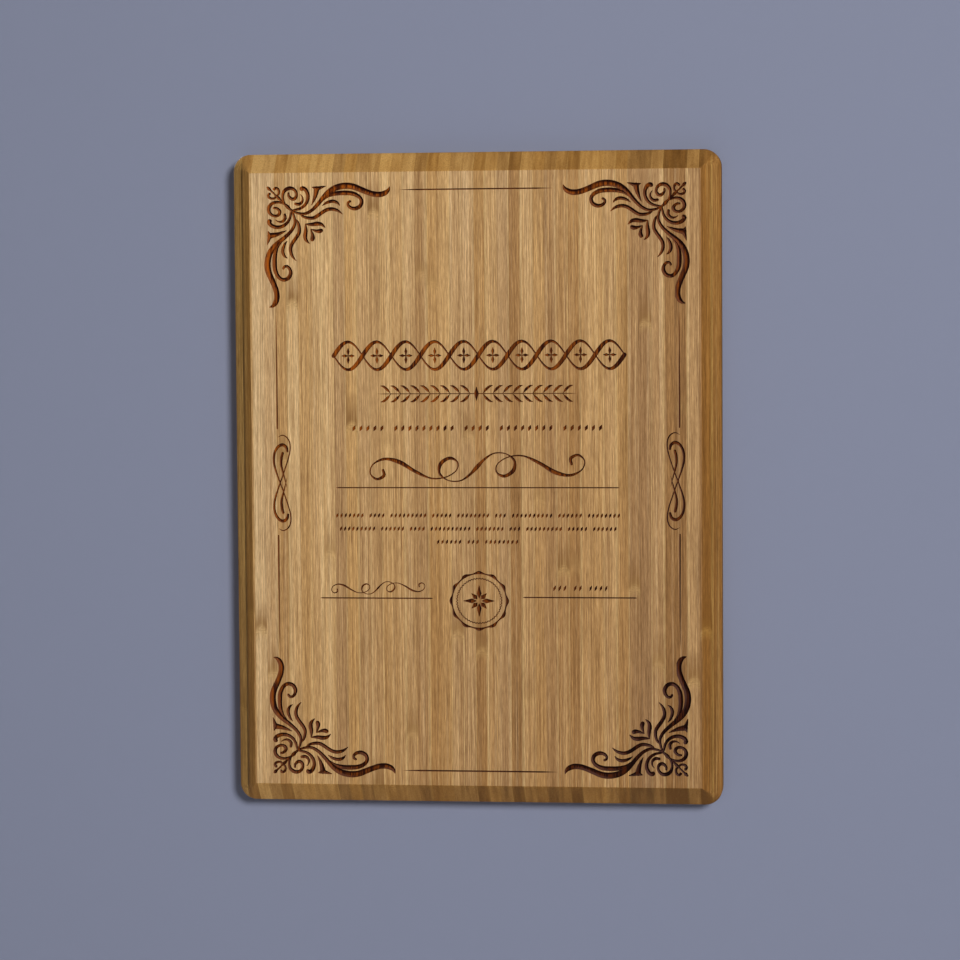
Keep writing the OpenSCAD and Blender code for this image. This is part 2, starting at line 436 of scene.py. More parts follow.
def pen_flourish(cx, cz, scale):
    """The pen flourish, whole: the right half and the same half turned round the centre."""
    right = [(x * scale, z * scale, max(w * scale * 1.3, 0.2)) for x, z, w in PEN_FLOURISH]
    left = [(-x, -z, w) for x, z, w in reversed(right[1:])]
    return [smooth([(cx + x, cz + z, w) for x, z, w in left + right], LETTERED)]


def seal_strokes(cx, cz):
    """A scalloped ring, a fine wavy circle and a star with eight petals."""
    lobes, waves = 12, 50
    ring_r, wave_r, wave_height = 12.5, 10.45, 0.25
    outer, inner = [], []
    for i in range(lobes * 10 + 1):
        a = 2 * math.pi * i / (lobes * 10)
        w = 0.32 + 0.46 * ((1 + math.cos(lobes * a)) / 2) ** 1.5
        r = ring_r + w
        outer.append((cx + r * math.sin(a), cz + r * math.cos(a), w))
    for i in range(waves * 6 + 1):
        a = 2 * math.pi * i / (waves * 6)
        r = wave_r + wave_height * math.sin(waves * a)
        inner.append((cx + r * math.sin(a), cz + r * math.cos(a), 0.22))
    found = [Stroke(outer, FINE), Stroke(inner, LETTERED)]
    for i in range(8):
        a = math.pi * i / 4
        length = 7.6 if i % 2 == 0 else 5.2
        petal = [(1.4, 0.25), (length * 0.45, 1.15), (length, 0.08)]
        points = [(cx + r * math.sin(a), cz + r * math.cos(a), w) for r, w in petal]
        found.append(Stroke(points, FINE))
    return found


def all_strokes():
    """The whole engraving, from the outside in and then from the top down."""
    strokes = corner_strokes() + flourish_strokes() + rule_strokes()
    strokes += link_band(2.0, 58.0, 68.0, 13.0, 10, 1.05)
    strokes += leaf_band(1.0, 40.2, 47.0, 9, 4.4)
    strokes += grain_row(1.0, 24.2, (5, 9, 4, 8, 6), 3.3, 3.0, 0.8)
    strokes += pen_flourish(1.0, 6.0, 1.0)
    strokes += grain_row(1.0, -16.6, (7, 4, 9, 5, 8, 3, 10, 6, 8), 1.97, 2.3, 0.6)
    strokes += grain_row(1.0, -22.8, (9, 6, 4, 10, 7, 3, 9, 5, 6), 1.95, 2.3, 0.6)
    strokes += grain_row(1.0, -28.9, (6, 3, 8), 2.05, 2.3, 0.6)
    strokes += pen_flourish(-46.0, -50.6, 0.44)
    strokes += grain_row(49.0, -50.4, (3, 2, 4), 2.4, 2.8, 0.6)
    strokes += seal_strokes(1.6, -56.5)
    return strokes


# ---------------------------------------------------------------------------------------
# Relief meshes: a sheet of triangles that follows given lines, raised by a height function
# ---------------------------------------------------------------------------------------
def triangulated(edges):
    """Points and triangles of a constrained triangulation that holds every given edge."""
    index, points, pairs = {}, [], []
    for edge in edges:
        ends = []
        for x, z in edge:
            x, z = on_glue_line(x, z)
            key = (round(x / SAME), round(z / SAME))
            if key not in index:
                index[key] = len(points)
                points.append(Vector((x, z)))
            ends.append(index[key])
        if ends[0] != ends[1]:
            pairs.append(tuple(ends))
    # a crossing right beside a glue line is moved onto it, which needs another round
    for _ in range(6):
        verts, links, faces, *_ = delaunay_2d_cdt(points, pairs, [], 0, SAME)
        points, pairs = [Vector(on_glue_line(*v)) for v in verts], links
        if points == list(verts):
            break
    return np.array(points), np.array([list(f) for f in faces])


def on_glue_line(x, z):
    """The same point or, if it lies right beside a glue line, the nearest mark on that line."""
    i = bisect.bisect(STRIP_EDGES, x)
    near = [g for g in STRIP_EDGES[max(i - 1, 0):i + 1] if abs(g - x) < 4 * SAME]
    return (near[0], round(z / GLUE_MARK) * GLUE_MARK) if near else (x, z)


def upward(points, faces):
    """Triangles turned so that they wind anticlockwise in x, z, without slivers."""
    a, b, c = (points[faces[:, i]] for i in range(3))
    area = (b[:, 0] - a[:, 0]) * (c[:, 1] - a[:, 1]) - (b[:, 1] - a[:, 1]) * (c[:, 0] - a[:, 0])
    faces = np.where(area[:, None] < 0, faces[:, ::-1], faces)
    return faces[np.abs(area) > 1e-9]


def front_sheet(strokes):
    """The engraved front: points, triangles, drop behind the face's plane, which are grooved."""
    outline = cut_at(board_ring(0), STRIP_EDGES)
    edges = closed(outline)
    for inset in bevel_insets():
        edges += closed(board_ring(inset))
    for sx in (-1, 1):
        for sz in (-1, 1):
            mitre = [(sx * (BOARD_W / 2 - d), sz * (BOARD_H / 2 - d))
                     for d in (CORNER_R, BEVEL + EASE)]
            edges += chain(mitre)
    edges += strip_lines(outline)
    for stroke in strokes:
        edges += stroke.lines()
    points, faces = triangulated(edges)
    faces = upward(points, faces)
    x, z = points[:, 0], points[:, 1]
    centres = points[faces].mean(1)
    depth = np.zeros(len(points))
    grooved = np.zeros(len(faces), bool)
    for stroke in strokes:
        near = stroke.near(x, z)
        depth[near] = np.maximum(depth[near], stroke.depth_at(x[near], z[near]))
        near = stroke.near(centres[:, 0], centres[:, 1])
        grooved[near] |= inside(stroke.rim(), centres[near])
    depth[np.unique(faces[~grooved])] = 0
    return points, faces, bevel_drop(edge_distance(x, z)) + depth, grooved


def bevel_insets():
    """Distances from the outline at which the bevel needs a ring of points."""
    glue = [BOARD_W / 2 - abs(x) for x in STRIP_EDGES]
    beside_glue = [d for d in sorted(set(glue)) if d < BEVEL - 1]
    bend = [BEVEL - EASE, BEVEL - EASE / 3, BEVEL + EASE / 3, BEVEL + EASE]
    return [ARRIS / 2, ARRIS] + BEVEL_RINGS + beside_glue + bend


def inside(loop, points):
    """Whether points lie inside a closed outline, by how often it winds round them."""
    ends = np.array(loop)[None] - points[:, None]
    angles = np.arctan2(ends[..., 1], ends[..., 0])
    turns = np.diff(np.concatenate([angles, angles[:, :1]], 1), axis=1)
    turns = (turns + math.pi) % (2 * math.pi) - math.pi
    return np.abs(turns.sum(1)) > math.pi


def strip_lines(outline):
    """One upright edge along each glue line, from the outline's foot to its top."""
    found = []
    for x in STRIP_EDGES:
        ends = sorted(z for px, z in outline if abs(px - x) < SAME)
        found.append(((x, ends[0]), (x, ends[-1])))
    return found


def obround(r, z0, z1, steps=24):
    """Outline of a pocket with round ends that stands upright on the centre line."""
    return arc(0, z1, r, 0, 180, steps) + arc(0, z0, r, 180, 360, steps)


def obround_depth(x, z, r, z0, z1, depth):
    """Depth of such a pocket at many points."""
    away = np.hypot(x, z - np.clip(z, z0, z1))
    return depth * np.clip((r - away) / POCKET_WALL, 0, 1)


def hanger_cuts():
    """What is routed and drilled into the back: radius, lower and upper centre, depth."""
    plate_low, plate_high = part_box("hanger_plate")
    screw_low, screw_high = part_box("hanger_screws")
    rise = [(v - CENTRE_Z) / MM for v in (plate_low.z, plate_high.z, screw_low.z, screw_high.z)]
    plate_r = (plate_high.x - plate_low.x) / MM / 2
    plate_t = (plate_high.y - plate_low.y) / MM
    head_r = (screw_high.x - screw_low.x) / MM / 2
    screw_l = (screw_high.y - screw_low.y) / MM
    keyhole_z = -CENTRE_Z / MM
    return [
        (plate_r + PLATE_GAP, rise[0] + plate_r, rise[1] - plate_r, plate_t),
        (POCKET_R, keyhole_z, keyhole_z + SLOT_RISE, POCKET_DEPTH),
        (SCREW_R, rise[2] + head_r, rise[2] + head_r, screw_l),
        (SCREW_R, rise[3] - head_r, rise[3] - head_r, screw_l),
    ]


def back_sheet():
    """The flat back with its softened edge and the hanger's recess, as for the front."""
    outline = cut_at(board_ring(0), STRIP_EDGES)
    edges = closed(outline) + closed(board_ring(BACK_ARRIS / 2)) + closed(board_ring(BACK_ARRIS))
    edges += strip_lines(outline)
    cuts = hanger_cuts()
    for r, z0, z1, _ in cuts:
        edges += closed(obround(r, z0, z1)) + closed(obround(r - POCKET_WALL, z0, z1))
    points, faces = triangulated(edges)
    x, z = points[:, 0], points[:, 1]
    rise = np.maximum(BACK_ARRIS - edge_distance(x, z), 0) ** 2 / BACK_ARRIS
    for r, z0, z1, depth in cuts:
        rise = np.maximum(rise, obround_depth(x, z, r, z0, z1, depth))
    return points, upward(points, faces), rise, np.zeros(len(faces), bool)


class Solid:
    """Collects the corners and faces of one closed piece."""

    def __init__(self):
        self.index, self.corners, self.faces, self.soft = {}, [], [], []

    def corner(self, key, place):
        if key not in self.index:
            self.index[key] = len(self.corners)
            self.corners.append(place)
        return self.index[key]

    def face(self, corners, soft=False):
        self.faces.append(corners)
        self.soft.append(soft)

    def build(self, name, material, sharp_angle=50):
        mesh = bpy.data.meshes.new(name)
        mesh.from_pydata(self.corners, [], self.faces)
        mesh.polygons.foreach_set("use_smooth", self.soft)
        mesh.set_sharp_from_angle(angle=math.radians(sharp_angle))
        mesh.materials.append(material)
        piece = bpy.data.objects.new(name, mesh)
        bpy.context.scene.collection.objects.link(piece)
        return piece


def board_point(x, z, y):
    """From the board's own millimetres to the frame."""
    return (CENTRE_X + x * MM, y, CENTRE_Z + z * MM)


def strip_of(x):
    return bisect.bisect(STRIP_EDGES, x)


def strip_solids(strokes):
    """One closed solid per strip, cut out of the engraved front and the flat back."""
    solids = [Solid() for _ in STRIPS]
    borders = [{} for _ in STRIPS]
    for side, sheet in enumerate((front_sheet(strokes), back_sheet())):
        points, faces, drop, grooved = sheet
        face_y = BACK_Y if side else FRONT_Y
        inward = -MM if side else MM
        for tri, soft in zip(faces, grooved):
            solid_no = strip_of(points[tri, 0].mean())
            solid = solids[solid_no]
            corners = []
            for i in tri:
                x, z = points[i]
                place = board_point(x, z, face_y + inward * drop[i])
                corners.append(solid.corner((side, int(i)), place))
            corners = corners[::-1] if side else corners
            solid.face(corners, bool(soft))
            for a, b in zip(corners, corners[1:] + corners[:1]):
                if (b, a) in borders[solid_no]:
                    del borders[solid_no][(b, a)]
                else:
                    borders[solid_no][(a, b)] = side
    for solid, border in zip(solids, borders):
        close_sides(solid, border)
    return solids


def close_sides(solid, border):
    """Joins the front's border to the back's, with one plane face along each glue line."""
    flat_sides = {}
    outer = {0: {}, 1: {}}
    for (a, b), side in border.items():
        ends = (solid.corners[a], solid.corners[b])
        x = ends[0][0]
        glue = next((g for g in STRIP_EDGES if abs(g * MM + CENTRE_X - x) < 1e-8), None)
        if glue is not None and abs(ends[1][0] - x) < 1e-8:
            flat_sides.setdefault(glue, {})[a] = b
        else:
            outer[side][a] = b
    key = {i: (round(c[0] * 1e7), round(c[2] * 1e7)) for i, c in enumerate(solid.corners)}
    back = {(key[a], key[b]): (a, b) for a, b in outer[1].items()}
    for a, b in outer[0].items():
        c, d = back[(key[b], key[a])]
        solid.face([b, a, d, c])
    for glue, links in flat_sides.items():
        close_glue_face(solid, links)


def close_glue_face(solid, links):
    """The plane face along one glue line: up one sheet's border and down the other's."""
    starts = set(links) - set(links.values())
    runs = []
    for start in starts:
        run = [start]
        while run[-1] in links:
            run.append(links[run[-1]])
        runs.append(run)
    first, second = runs
    solid.face((first + second)[::-1])


def cross(arm, half_width):
    """The twelve corners of a plus sign."""
    corners = [(arm, -half_width), (arm, half_width), (half_width, half_width)]
    quarters = ((1, 0), (0, 1), (-1, 0), (0, -1))
    return [(x * c - z * s, x * s + z * c) for c, s in quarters for x, z in corners]


def add_screw(solid, cz, turn):
    """A countersunk screw with a cross recess, its head in the plane of the back."""
    screw_low, screw_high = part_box("hanger_screws")
    head_r = (screw_high.x - screw_low.x) / MM / 2
    length = (screw_high.y - screw_low.y) / MM
    steps = 48

    def corner(x, z, depth):
        key = (round(x, 2), round(z + cz, 2), round(depth, 3))
        return solid.corner(key, board_point(x, z + cz, BACK_Y - depth * MM))

    points, faces, drop = screw_head(head_r, turn, steps)
    for tri in faces:
        solid.face([corner(*points[i], drop[i]) for i in tri][::-1])

    neck = head_r - SCREW_R
    threaded = np.arange(neck + 0.2, length, SCREW_PITCH / 6)
    rings = [(SCREW_EASE, head_r), (neck, SCREW_R)] + [(depth, None) for depth in threaded]
    rings.append((length, SCREW_TIP_R))
    loops = []
    for depth, radius in rings:
        loop = []
        for i in range(steps):
            angle = 2 * math.pi * i / steps
            r = radius or thread_radius(depth, angle, length)
            loop.append(corner(r * math.cos(angle), r * math.sin(angle), depth))
        loops.append(loop)
    for upper, lower in zip(loops, loops[1:]):
        for i in range(steps):
            j = (i + 1) % steps
            solid.face([upper[i], upper[j], lower[j], lower[i]], True)
    solid.face(loops[-1])


def screw_head(head_r, turn, steps):
    """A head's flat top, seen from behind the board: points, triangles and drop below it."""
    cos_turn, sin_turn = math.cos(turn), math.sin(turn)

    def turned(loop):
        return [(x * cos_turn - z * sin_turn, x * sin_turn + z * cos_turn) for x, z in loop]

    floor = turned(cross(*CROSS_FLOOR))
    edges = closed(arc(0, 0, head_r, 0, 360, steps)[:-1])
    edges += closed(arc(0, 0, head_r - SCREW_EASE, 0, 360, steps)[:-1])
    edges += closed(turned(cross(*CROSS_RIM))) + closed(floor)
    points, faces = triangulated(edges)
    # drawn in a little, the floor's own corners lie clearly inside its outline
    sunk = inside(floor, points * 0.98)
    away = np.hypot(points[:, 0], points[:, 1])
    rim = np.where(away > head_r - SCREW_EASE / 2, SCREW_EASE, 0.0)
    return points, upward(points, faces), np.where(sunk, CROSS_DEPTH, rim)


def thread_radius(depth, angle, length):
    """Radius of the shank where a V thread winds round it. The last stretch is a point."""
    share = (depth / SCREW_PITCH - angle / (2 * math.pi)) % 1
    ridge = 1 - abs(2 * share - 1)
    point = min(1, (length - depth) / SCREW_POINT)
    full = SCREW_CORE_R + (SCREW_R - SCREW_CORE_R) * ridge
    return SCREW_TIP_R + (full - SCREW_TIP_R) * point


# ---------------------------------------------------------------------------------------
# Materials
# ---------------------------------------------------------------------------------------
class Shader:
    """A material's node tree with short calls for the nodes used here."""

    def __init__(self, name):
        self.material = bpy.data.materials.new(name)
        self.material.use_nodes = True
        self.tree = self.material.node_tree
        self.bsdf = self.tree.nodes["Principled BSDF"]

    def add(self, kind, inputs=(), **settings):
        node = self.tree.nodes.new(kind)
        for key, value in settings.items():
            setattr(node, key, value)
        for socket, value in dict(inputs).items():
            self.put(node.inputs[socket], value)
        return node

    def put(self, socket, value):
        if isinstance(value, bpy.types.NodeSocket):
            self.tree.links.new(value, socket)
        else:
            socket.default_value = value

    def math(self, operation, a, b=0.0, c=0.0, clamp=False):
        node = self.add("ShaderNodeMath", {0: a, 1: b, 2: c}, operation=operation)
        node.use_clamp = clamp
        return node.outputs[0]

    def span(self, value, low, high, to_low=0.0, to_high=1.0, smooth=False):
        """value moved from one range to another, clamped."""
        kind = "SMOOTHSTEP" if smooth else "LINEAR"
        node = self.add("ShaderNodeMapRange",
                        {0: value, 1: low, 2: high, 3: to_low, 4: to_high},
                        interpolation_type=kind)
        return node.outputs[0]

    def mix(self, factor, a, b, blend="MIX"):
        node = self.add("ShaderNodeMix", data_type="RGBA", blend_type=blend)
        self.put(node.inputs[0], factor)
        self.put(node.inputs[6], a)
        self.put(node.inputs[7], b)
        return node.outputs[2]

    def ramp(self, factor, stops):
        node = self.add("ShaderNodeValToRGB", {0: factor})
        elements = node.color_ramp.elements
        while len(elements) < len(stops):
            elements.new(1.0)
        for element, (position, colour) in zip(elements, stops):
            element.position = position
            element.color = (*colour, 1)
        return node.outputs[0]

    def scaled(self, vector, scale, offset=None):
        node = self.add("ShaderNodeMapping", {0: vector, 3: scale})
        if offset is not None:
            self.put(node.inputs[1], offset)
        return node.outputs[0]

    def noise(self, vector, scale, detail=2.0, roughness=0.5, distortion=0.0):
        node = self.add("ShaderNodeTexNoise", {"Vector": vector, "Scale": scale,
                                               "Detail": detail, "Roughness": roughness,
                                               "Distortion": distortion})
        return node.outputs[0]

    def random(self, value, seed):
        """A number from 0 to 1 that is the same wherever value is the same."""
        shifted = self.math("ADD", value, seed)
        node = self.add("ShaderNodeTexWhiteNoise", {"W": shifted}, noise_dimensions="1D")
        return node.outputs[0]

    def joined(self, x, y, z):
        return self.add("ShaderNodeCombineXYZ", {0: x, 1: y, 2: z}).outputs[0]


def bamboo_material():
    """Side-pressed bamboo: a tone per strip, long fibres, bundles, knuckles and burnt grooves, with
    painted shade and light on the grooves' walls.
    """
    s = Shader("bamboo")
    place = s.add("ShaderNodeTexCoord").outputs["Object"]
    x, y, z = s.add("ShaderNodeSeparateXYZ", {0: s.scaled(place, (1000, 1000, 1000))}).outputs
    across = s.math("DIVIDE", x, STRIP_W)
    strip = s.math("FLOOR", across)
    within = s.math("FRACT", across)
    flip = s.math("GREATER_THAN", s.random(strip, 3.7), 0.5)
    skin = s.math("ABSOLUTE", s.math("SUBTRACT", within, flip))

    # each strip's fibres start somewhere else and wander a little
    shift = s.math("MULTIPLY", s.random(strip, 11.3), 400.0)
    wander = s.noise(s.joined(strip, s.math("MULTIPLY", y, 0.1), s.math("MULTIPLY", z, 0.018)),
                     1.0, 1.0)
    along = s.joined(s.math("ADD", x, s.math("MULTIPLY", wander, 0.8)), y,
                     s.math("ADD", z, shift))
    bands = s.noise(s.scaled(along, (0.4, 0.06, 0.004)), 1.0, 2.0, 0.5)
    streaks = s.noise(s.scaled(along, (0.9, 0.2, 0.005)), 1.0, 4.0, 0.75)
    fibres = s.noise(s.scaled(along, (2.1, 2.1, 0.022)), 1.0, 3.0, 0.9)
    flecks = s.noise(s.scaled(along, (2.8, 2.8, 0.2)), 1.0, 2.0, 0.7)
    bundle = s.add("ShaderNodeTexVoronoi", {"Vector": s.scaled(along, (1.5, 1.5, 0.012)),
                                            "Scale": 1.0}).outputs["Distance"]
    core = s.math("SUBTRACT", 1.0, s.math("DIVIDE", bundle, s.span(skin, 0, 1, 0.18, 0.4)),
                  clamp=True)

    # tone of each strip, on the whole paler to the left and browner to the right
    tone = s.span(s.random(strip, 5.1), 0.0, 1.0, 0.25, 0.71)
    tone = s.math("ADD", tone, s.span(x, -110.0, 110.0, 0.27, -0.19))
    tone = s.math("ADD", tone, s.span(z, -250.0, 45.0, -0.17, 0.08))
    tone = s.math("ADD", tone, s.span(bands, 0.3, 0.7, -0.15, 0.15))
    wood = s.ramp(tone, WOOD_TONES)
    hue = s.mix(s.random(strip, 8.8), (1.03, 0.98, 0.88, 1), (0.99, 1.01, 1.14, 1))
    wood = s.mix(1.0, wood, hue, "MULTIPLY")
    plain = wood
    wood = s.mix(s.span(streaks, 0.52, 0.75, 0.0, 0.5), wood, (0.64, 0.45, 0.25, 1))
    wood = s.mix(s.span(streaks, 0.48, 0.25, 0.0, 0.5), wood, (0.27, 0.135, 0.045, 1))
    wood = s.mix(s.math("MULTIPLY", core, 0.25), wood, (0.2, 0.095, 0.028, 1))
    wood = s.mix(s.span(skin, 0.14, 0.04, 0.0, 0.4), wood, (0.64, 0.44, 0.2, 1))
    fine = s.mix(s.span(fibres, 0.34, 0.66), (0.54, 0.48, 0.41, 1), (1.38, 1.44, 1.48, 1))
    short = s.mix(s.span(flecks, 0.32, 0.68), (0.76, 0.72, 0.67, 1), (1.22, 1.24, 1.26, 1))
    wood = s.mix(0.9, wood, fine, "MULTIPLY")
    wood = s.mix(0.9, wood, short, "MULTIPLY")
    wood = knuckled(s, wood, (strip, within, z), (place, streaks))

    # glue lines
    from_edge = s.math("MINIMUM", within, s.math("SUBTRACT", 1.0, within))
    wood = s.mix(s.span(from_edge, 0.02, 0.004, 0.0, 0.35), wood, (0.2, 0.1, 0.035, 1))

    # routed edges take more finish than the sanded face, and the cut ends most of all
    normal = s.add("ShaderNodeSeparateXYZ",
                   {0: s.add("ShaderNodeTexCoord").outputs["Normal"]}).outputs
    routed = s.span(s.math("ABSOLUTE", normal[1]), 0.97, 0.85)
    end = s.span(s.math("ABSOLUTE", normal[2]), 0.35, 0.6)
    wood = s.mix(s.math("MULTIPLY", end, 0.6), wood, plain)
    wood = s.mix(routed, wood, s.mix(1.0, wood, (0.86, 0.75, 0.49, 1), "MULTIPLY"))
    dots = s.mix(s.span(bundle, 0.1, 0.42), (0.8, 0.76, 0.7, 1), (1.02, 1.02, 1.02, 1))
    contrast = s.span(tone, 0.1, 0.9, 0.7, 1.14)
    even = s.mix(1.0, wood, s.joined(contrast, contrast, contrast), "MULTIPLY")
    wood = s.mix(end, wood, s.mix(1.0, even, dots, "MULTIPLY"))

    colour, burnt = burnt_wood(s, wood, (x, y, z), (streaks, flecks, normal))
    s.put(s.bsdf.inputs["Base Color"], colour)
    rough = s.math("ADD", s.span(fibres, 0.2, 0.8, 0.58, 0.46), s.math("MULTIPLY", burnt, 0.4))
    s.put(s.bsdf.inputs["Roughness"], rough)
    s.bsdf.inputs["Specular IOR Level"].default_value = 0.14

    height = s.math("ADD", s.math("MULTIPLY", fibres, 0.7), s.math("MULTIPLY", flecks, 0.5))
    height = s.math("SUBTRACT", height, s.math("MULTIPLY", core, 0.3))
    height = s.math("MULTIPLY", height, s.math("ADD", s.math("MULTIPLY", burnt, 3.0), 1.0))
    bump = s.add("ShaderNodeBump", {"Strength": 0.6, "Distance": 0.00006, "Height": height})
    s.put(s.bsdf.inputs["Normal"], bump.outputs[0])
    return s.material


def knuckled(s, wood, where, patterns):
    """The wood with one culm node on each strip: a pale patch, dark cracks and a dark tail."""
    strip, within, z = where
    place, streaks = patterns
    pitch = 270.0
    cell = s.math("ADD", s.math("DIVIDE", z, pitch), s.random(strip, 19.9))
    off = s.math("MULTIPLY", s.math("SUBTRACT", s.math("FRACT", cell), 0.5), pitch)
    middle = s.math("SUBTRACT", within, 0.5)
    arch = s.math("MULTIPLY", s.math("MULTIPLY", middle, middle), 9.0)
    bent = s.math("ADD", off, arch)
    strength = s.span(s.random(strip, 29.3), 0.25, 0.8, 0.15, 1.0)
    pale = s.math("MULTIPLY", s.span(bent, -5.0, 1.0, smooth=True), s.span(bent, 6.5, 3.0))
    pale = s.math("MULTIPLY", pale, s.span(strength, 0.0, 1.0, 0.0, 0.5))
    wood = s.mix(pale, wood, (0.58, 0.36, 0.13, 1))
    cracks = s.noise(s.scaled(place, (650, 650, 1500)), 1.0, 3.0, 0.6)
    close = s.span(s.math("ABSOLUTE", bent), 2.6, 1.2)
    cracks = s.math("MULTIPLY", s.span(cracks, 0.46, 0.6), close)
    wood = s.mix(s.math("MULTIPLY", cracks, s.math("MULTIPLY", strength, 0.35)),
                 wood, (0.2, 0.1, 0.035, 1))
    tail = s.math("MULTIPLY", s.span(bent, 0.0, 2.5), s.span(bent, 16.0, 4.0))
    tail = s.math("MULTIPLY", tail, s.span(streaks, 0.62, 0.5, 0.3, 1.0))
    return s.mix(s.math("MULTIPLY", tail, s.math("MULTIPLY", strength, 0.85)),
                 wood, (0.24, 0.115, 0.035, 1))


def burnt_wood(s, wood, where, patterns):
    """The wood with what the laser burnt, which is all that lies behind the face's plane, and
    painted shade and light on the grooves' walls by which way they face.
    """
    x, y, z = where
    streaks, flecks, normal = patterns
    depth = s.math("SUBTRACT", y, FRONT_Y / MM)
    off_x = s.math("ABSOLUTE", s.math("SUBTRACT", x, CENTRE_X / MM))
    off_z = s.math("ABSOLUTE", s.math("SUBTRACT", z, CENTRE_Z / MM))
    on_face = s.math("MULTIPLY", s.math("LESS_THAN", off_x, BOARD_W / 2 - BEVEL - 1),
                     s.math("LESS_THAN", off_z, BOARD_H / 2 - BEVEL - 1))
    on_face = s.math("MULTIPLY", on_face, s.math("LESS_THAN", depth, DEEPEST))
    burnt = s.math("MULTIPLY", s.span(depth, 0.01, 0.06), on_face)

    # the grooves' colour is darker towards the lower right
    toward_lower_right = s.math("ADD", s.span(x, -110.0, 110.0, 0.0, 0.5), s.span(z, 45.0, -250.0, 0.0, 0.5))
    floor = s.mix(toward_lower_right, (0.25, 0.052, 0.003, 1), (0.013, 0.001, 0.0005, 1))
    striped = s.mix(s.span(streaks, 0.45, 0.56), (0.15, 0.09, 0.08, 1), (1.8, 2.1, 1.9, 1))
    floor = s.mix(0.9, floor, striped, "MULTIPLY")
    # painted shade and light: groove walls that face left or down, away from the key light, are
    # painted near black, and those that face right or up, towards it, are painted paler
    faces = s.math("ADD", s.math("MULTIPLY", normal[0], 0.8), s.math("MULTIPLY", normal[2], 0.6))
    painted_shade = s.span(faces, 0.0, -0.4, 0.0, 0.92)
    char_and_painted_light = s.mix(painted_shade, floor, (0.014, 0.001, 0.0005, 1))
    # painted light: a paler colour for the groove walls that face the key light
    painted_lit_colour = s.mix(toward_lower_right, (0.28, 0.085, 0.02, 1), (0.085, 0.04, 0.036, 1))
    char_and_painted_light = s.mix(s.span(faces, 0.25, 0.65, 0.0, 0.7), char_and_painted_light, painted_lit_colour)
    speckled = s.mix(s.span(flecks, 0.3, 0.7), (0.7, 0.66, 0.62, 1), (1.25, 1.25, 1.25, 1))
    char_and_painted_light = s.mix(0.8, char_and_painted_light, speckled, "MULTIPLY")
    return s.mix(burnt, wood, char_and_painted_light), burnt


def steel_material(name, colour, brushed):
    """Zinc-plated steel with fine brushing up and down and faint clouding."""
    s = Shader(name)
    place = s.add("ShaderNodeTexCoord").outputs["Object"]
    lines = s.noise(s.scaled(place, (9000, 900, 260)), 1.0, 3.0, 0.6)
    cloud = s.noise(s.scaled(place, (170, 170, 170)), 1.0, 4.0, 0.6)
    bright = tuple(min(1.0, c * 1.12) for c in colour)
    dull = tuple(c * 0.8 for c in colour)
    tint = s.mix(s.span(cloud, 0.35, 0.65), (*dull, 1), (*bright, 1))
    s.put(s.bsdf.inputs["Base Color"], tint)
    s.bsdf.inputs["Metallic"].default_value = 1.0
    rough = s.math("ADD", s.span(lines, 0.3, 0.7, 0.26, 0.4), s.span(cloud, 0.3, 0.7, 0.0, 0.08))
    s.put(s.bsdf.inputs["Roughness"], rough)
    bump = s.add("ShaderNodeBump", {"Strength": brushed, "Distance": 0.00003, "Height": lines})
    s.put(s.bsdf.inputs["Normal"], bump.outputs[0])
    return s.material


# ---------------------------------------------------------------------------------------
# Stage, lights and camera
# ---------------------------------------------------------------------------------------
def stage_plane(name, corners, material):
    mesh = bpy.data.meshes.new(name)
    mesh.from_pydata(corners, [], [(0, 1, 2, 3)])
    mesh.materials.append(material)
    plane = bpy.data.objects.new(name, mesh)
    bpy.context.scene.collection.objects.link(plane)
    return plane


def matt_material(name, colour):
    s = Shader(name)
    place = s.add("ShaderNodeTexCoord").outputs["Object"]
    soft = s.noise(s.scaled(place, (3, 3, 3)), 1.0, 3.0, 0.5)
    low = tuple(c * 0.97 for c in colour)
    s.put(s.bsdf.inputs["Base Color"], s.mix(soft, (*low, 1), (*colour, 1)))
    s.bsdf.inputs["Roughness"].default_value = 0.9
    s.bsdf.inputs["Specular IOR Level"].default_value = 0.1
    return s


def build_stage():
    """A pale floor below the plaque and the wall it hangs on, which can't be seen from behind."""
    reach, floor_z, wall_y = 4.0, LOW.z - 0.3, HIGH.y + 0.0003
    floor = matt_material("floor_paint", (0.62, 0.62, 0.64))
    stage_plane("floor", [(-reach, -reach, floor_z), (reach, -reach, floor_z),
                          (reach, reach, floor_z), (-reach, reach, floor_z)], floor.material)
    paint = matt_material("wall_paint", (0.24, 0.263, 0.362))
    clear = paint.add("ShaderNodeBsdfTransparent")
    behind = paint.add("ShaderNodeNewGeometry").outputs["Backfacing"]
    either = paint.add("ShaderNodeMixShader", {0: behind, 1: paint.bsdf.outputs[0],
                                               2: clear.outputs[0]})
    output = paint.tree.nodes["Material Output"]
    paint.put(output.inputs["Surface"], either.outputs[0])
    wall = stage_plane("wall", [(-reach, wall_y, floor_z), (reach, wall_y, floor_z),
                                (reach, wall_y, reach), (-reach, wall_y, reach)], paint.material)
    wall.visible_shadow = False
    wall.visible_diffuse = False
    wall.visible_glossy = False


def area_light(name, place, target, size, power, colour, spread=180):
    light = bpy.data.lights.new(name, "AREA")
    light.shape = "DISK"
    light.size = size
    light.spread = math.radians(spread)
    light.energy = power
    light.color = colour
    lamp = bpy.data.objects.new(name, light)
    lamp.location = place
    lamp.rotation_euler = (Vector(target) - Vector(place)).to_track_quat("-Z", "Y").to_euler()
    bpy.context.scene.collection.objects.link(lamp)


